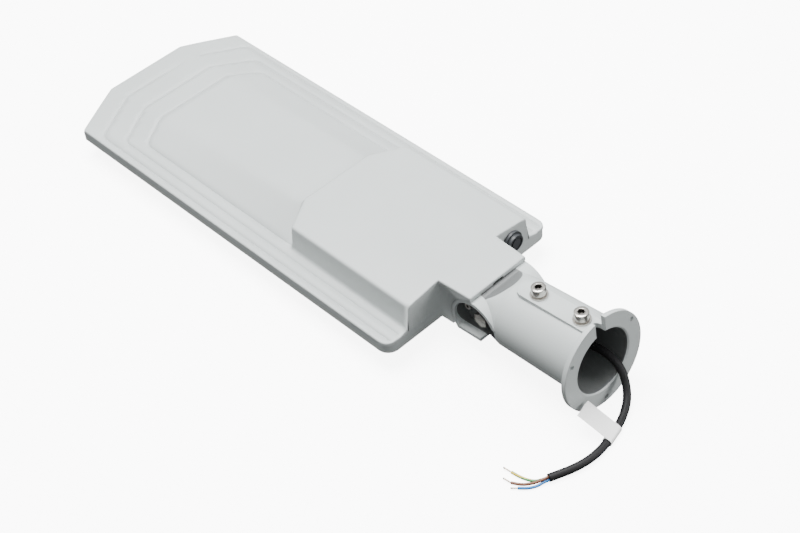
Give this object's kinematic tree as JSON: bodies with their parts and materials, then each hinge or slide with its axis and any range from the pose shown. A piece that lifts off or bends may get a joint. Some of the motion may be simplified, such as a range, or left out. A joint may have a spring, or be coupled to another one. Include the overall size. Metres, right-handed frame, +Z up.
{
  "type": "street lamp head",
  "caption": "Grey die-cast LED street lamp head with a tilting spigot for a pole's end, a hinged door under its driver bay and a short supply cable.",
  "frame": {"origin": "centre of the spigot's mouth, where the bore's axis meets the mouth's face", "axes": "+Y from the spigot towards the lamp's tip, +Z up away from the light, the head level; the spigot's bore points down 4 degrees towards the head"},
  "size_m": [0.223, 0.665, 0.0934],
  "materials": {
    "paint": "satin",
    "steel": "satin",
    "cable_black": "matt",
    "label_white": "matt",
    "core_green": "satin",
    "core_brown": "satin",
    "core_blue": "satin",
    "tinned": "satin",
    "board_white": "satin",
    "chip_yellow": "satin",
    "lens_clear": "clear",
    "seal_black": "matt",
    "glass_clear": "clear",
    "tray_metal": "satin",
    "driver_case": "satin",
    "surge_case": "satin",
    "block_plastic": "satin",
    "gland_plastic": "satin",
    "lead_red": "matt"
  },
  "bodies": {
    "spigot": {"spigot_bracket": "paint", "clamp_screws": "steel", "clamp_washers": "steel", "angle_lock_screw": "steel", "supply_cable": "cable_black", "cable_label": "label_white", "core_green_yellow": "core_green", "core_brown": "core_brown", "core_blue": "core_blue", "core_ends": "tinned"},
    "head": {"housing": "paint", "pivot_bolts": "steel", "pivot_washers": "steel", "led_boards": "board_white", "led_chips": "chip_yellow", "lens_plates": "lens_clear", "lens_screws": "steel", "glass_gasket": "seal_black", "glass_cover": "glass_clear", "glass_frame": "paint", "frame_screws": "steel", "gear_tray": "tray_metal", "tray_screws": "steel", "led_driver": "driver_case", "surge_protector": "surge_case", "terminal_block": "block_plastic", "cable_gland": "gland_plastic", "gland_nut": "gland_plastic", "cable_tail": "cable_black", "input_leads": "core_brown", "driver_leads": "core_blue", "led_leads": "lead_red", "breather_plug": "gland_plastic", "breather_seal": "seal_black", "breather_nut": "gland_plastic", "door_seal": "seal_black", "hinge_pins": "steel"},
    "door": {"bay_door": "paint", "door_screws": "steel", "door_retainers": "seal_black"}
  },
  "joints": [
    {"name": "head_tilt", "type": "hinge", "parent": "spigot", "child": "head", "pos_m": [0, 0.11786, -0.01325], "axis": [1, 0, 0], "range_deg": [-14, 11]},
    {"name": "door_hinge", "type": "hinge", "parent": "head", "child": "door", "pos_m": [0, 0.33236, -0.02515], "axis": [1, 0, 0], "range_deg": [0, 90]}
  ]
}
